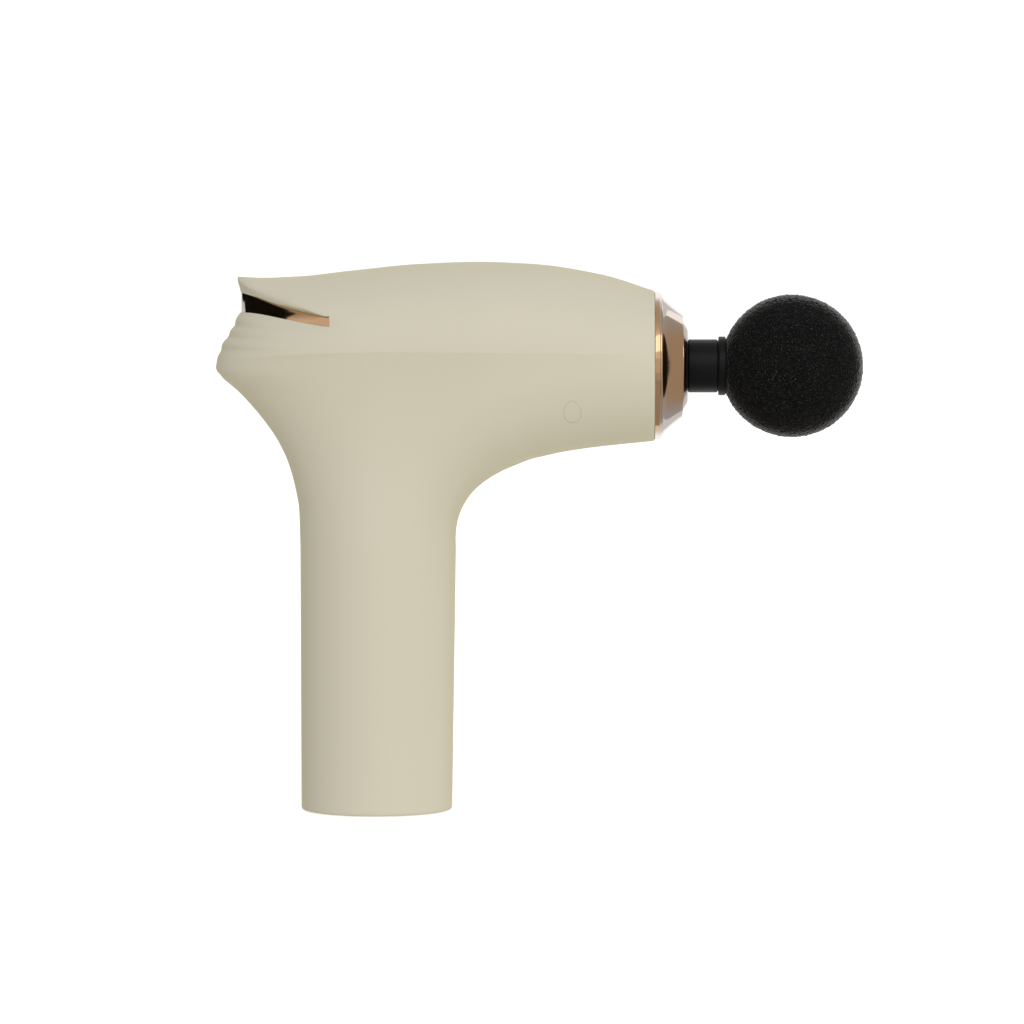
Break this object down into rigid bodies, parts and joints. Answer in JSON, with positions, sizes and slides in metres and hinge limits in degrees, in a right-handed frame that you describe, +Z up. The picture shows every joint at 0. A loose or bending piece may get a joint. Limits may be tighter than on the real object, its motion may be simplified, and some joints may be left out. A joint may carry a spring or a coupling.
{
  "type": "massage gun",
  "caption": "Handheld percussion massage gun: round upright grip, T-shaped head with a metal nose ring and trim, reciprocating plunger and a push-fit foam ball head.",
  "frame": {"origin": "centre of the flat round base of the grip", "axes": "+X from the grip axis towards the massage ball, along the stroke; +Z up along the grip; +Y to the left side of the gun, so the side with the button faces -Y"},
  "size_m": [0.2153, 0.0604, 0.1826],
  "materials": {
    "housing_left": "smooth satin-gloss moulded shell",
    "housing_right": "smooth satin-gloss moulded shell",
    "front_ring": "polished rose-gold anodised ring",
    "nose_bezel": "polished rose-gold anodised lip",
    "rear_trim": "polished rose-gold anodised strip",
    "base_cap": "smooth moulded cap",
    "base_screws": "plated steel",
    "housing_screws": "plated steel",
    "charge_light": "clear light pipe",
    "drive_frame": "die cast",
    "guide_sleeve": "turned",
    "front_bush": "sintered bronze",
    "rear_bush": "sintered bronze",
    "front_damper": "soft rubber",
    "rear_damper": "soft rubber",
    "dust_seal": "soft rubber",
    "motor_base": "turned",
    "motor_screws": "plated steel",
    "stator_core": "laminated electrical steel",
    "stator_windings": "enamelled copper wire",
    "motor_bearing_outer_races": "ground bearing steel",
    "motor_bearing_inner_races": "ground bearing steel",
    "motor_bearing_balls": "ground bearing steel",
    "rotor_bell": "plated steel cup",
    "rotor_magnets": "nickel plated magnets",
    "motor_shaft": "ground steel",
    "crank_disc": "machined steel",
    "connecting_rod": "machined",
    "big_end_bearing": "ground bearing steel",
    "crank_pin": "hardened steel",
    "small_end_bush": "sintered bronze",
    "plunger": "black anodised",
    "wrist_pin": "hardened steel",
    "head_stem": "moulded black",
    "stem_o_rings": "soft rubber",
    "head_collar": "moulded black",
    "ball_core": "moulded black",
    "foam_ball": "fine open-cell foam",
    "usb_socket": "stamped steel",
    "charge_board": "solder-masked laminate",
    "control_board": "solder-masked laminate",
    "capacitors": "sleeved can",
    "power_transistors": "moulded package",
    "control_chip": "moulded package",
    "battery_cell_1": "sleeved lithium cell",
    "battery_cell_2": "sleeved lithium cell",
    "battery_cell_3": "sleeved lithium cell",
    "battery_holder_lower": "moulded black",
    "battery_holder_upper": "moulded black",
    "cell_links_lower": "nickel strip",
    "cell_links_upper": "nickel strip",
    "motor_leads": "silicone insulated wire",
    "battery_leads": "silicone insulated wire",
    "button_leads": "insulated wire",
    "charge_leads": "insulated wire",
    "speed_button": "smooth moulded button",
    "tact_switch": "moulded switch body",
    "switch_stem": "moulded stem",
    "switch_board": "solder-masked laminate"
  },
  "bodies": {
    "housing": {"housing_left": "housing_left", "housing_right": "housing_right", "front_ring": "front_ring", "nose_bezel": "nose_bezel", "rear_trim": "rear_trim", "base_cap": "base_cap", "base_screws": "base_screws", "housing_screws": "housing_screws", "charge_light": "charge_light", "drive_frame": "drive_frame", "guide_sleeve": "guide_sleeve", "front_bush": "front_bush", "rear_bush": "rear_bush", "front_damper": "front_damper", "rear_damper": "rear_damper", "dust_seal": "dust_seal", "motor_base": "motor_base", "motor_screws": "motor_screws", "stator_core": "stator_core", "stator_windings": "stator_windings", "motor_bearing_outer_races": "motor_bearing_outer_races", "usb_socket": "usb_socket", "charge_board": "charge_board", "control_board": "control_board", "capacitors": "capacitors", "power_transistors": "power_transistors", "control_chip": "control_chip", "battery_cell_1": "battery_cell_1", "battery_cell_2": "battery_cell_2", "battery_cell_3": "battery_cell_3", "battery_holder_lower": "battery_holder_lower", "battery_holder_upper": "battery_holder_upper", "cell_links_lower": "cell_links_lower", "cell_links_upper": "cell_links_upper", "motor_leads": "motor_leads", "battery_leads": "battery_leads", "button_leads": "button_leads", "charge_leads": "charge_leads", "tact_switch": "tact_switch", "switch_board": "switch_board"},
    "drive": {"rotor_bell": "rotor_bell", "rotor_magnets": "rotor_magnets", "motor_shaft": "motor_shaft", "motor_bearing_inner_races": "motor_bearing_inner_races", "motor_bearing_balls": "motor_bearing_balls", "crank_disc": "crank_disc"},
    "rod": {"connecting_rod": "connecting_rod", "big_end_bearing": "big_end_bearing", "crank_pin": "crank_pin", "small_end_bush": "small_end_bush"},
    "plunger": {"plunger": "plunger", "wrist_pin": "wrist_pin"},
    "massage_head": {"head_stem": "head_stem", "stem_o_rings": "stem_o_rings", "head_collar": "head_collar", "ball_core": "ball_core", "foam_ball": "foam_ball"},
    "button": {"speed_button": "speed_button", "switch_stem": "switch_stem"}
  },
  "joints": [
    {"name": "motor_spin", "type": "hinge", "parent": "housing", "child": "drive", "pos_m": [0, 0, 0.125], "axis": [0, 0, 1], "continuous": true},
    {"name": "plunger_stroke", "type": "slide", "parent": "housing", "child": "plunger", "axis": [1, 0, 0], "range_m": [0, 0.01]},
    {"name": "rod_swing", "type": "hinge", "parent": "plunger", "child": "rod", "pos_m": [0.025, 0, 0.148], "axis": [0, 0, 1], "range_deg": [-9.6, 9.6]},
    {"name": "head_pull_off", "type": "slide", "parent": "plunger", "child": "massage_head", "axis": [1, 0, 0], "range_m": [0, 0.03]},
    {"name": "button_press", "type": "slide", "parent": "housing", "child": "button", "axis": [0, 1, 0], "range_m": [0, 0.0006], "stiffness_N_per_m": 400, "springref_m": -0.002}
  ]
}
